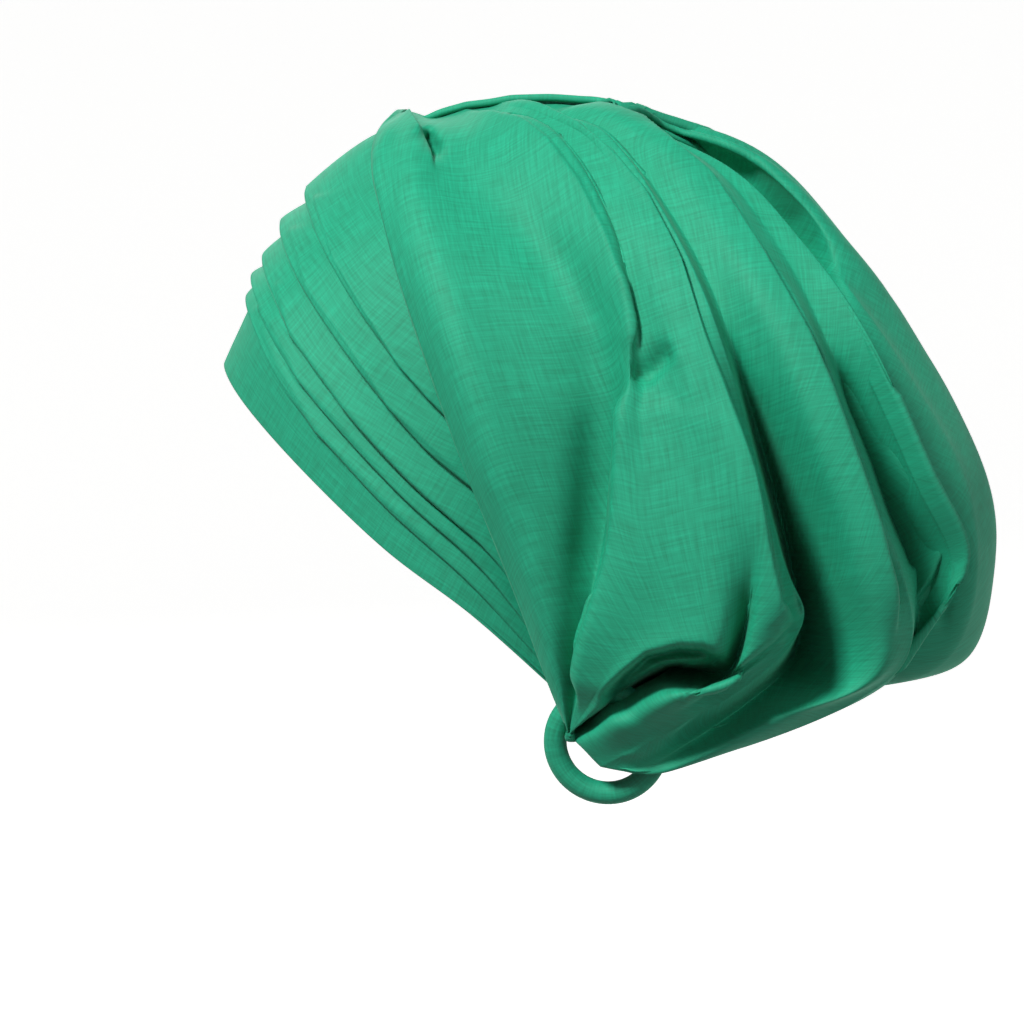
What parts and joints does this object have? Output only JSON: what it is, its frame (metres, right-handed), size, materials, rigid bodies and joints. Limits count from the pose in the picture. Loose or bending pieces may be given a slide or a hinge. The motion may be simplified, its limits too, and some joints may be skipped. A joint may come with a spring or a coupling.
{
  "type": "turban headwrap",
  "caption": "Pre-tied turban headwrap in its worn shape: knife-pleated forehead band, two gathered side drapes with a full back bag, and a cloth-covered ring at the nape",
  "frame": {"origin": "Centre of the wearer's head at its widest level, inside the hollow: the head seat that holds the wrap up", "axes": "Front of the face is -Y, back of the head is +Y, the wearer's left is +X, the crown is +Z. The wrap is longest along Y and narrowest along X."},
  "size_m": [0.1924, 0.27, 0.2387],
  "materials": {
    "forehead_band": "plain woven cloth, soft sheen, emerald green",
    "left_drape": "plain woven cloth, soft sheen, emerald green",
    "right_drape": "plain woven cloth, soft sheen, emerald green",
    "nape_ring": "cord covered with the same cloth"
  },
  "bodies": {
    "root": {"forehead_band": "forehead_band", "left_drape": "left_drape", "right_drape": "right_drape", "nape_ring": "nape_ring"}
  },
  "joints": []
}
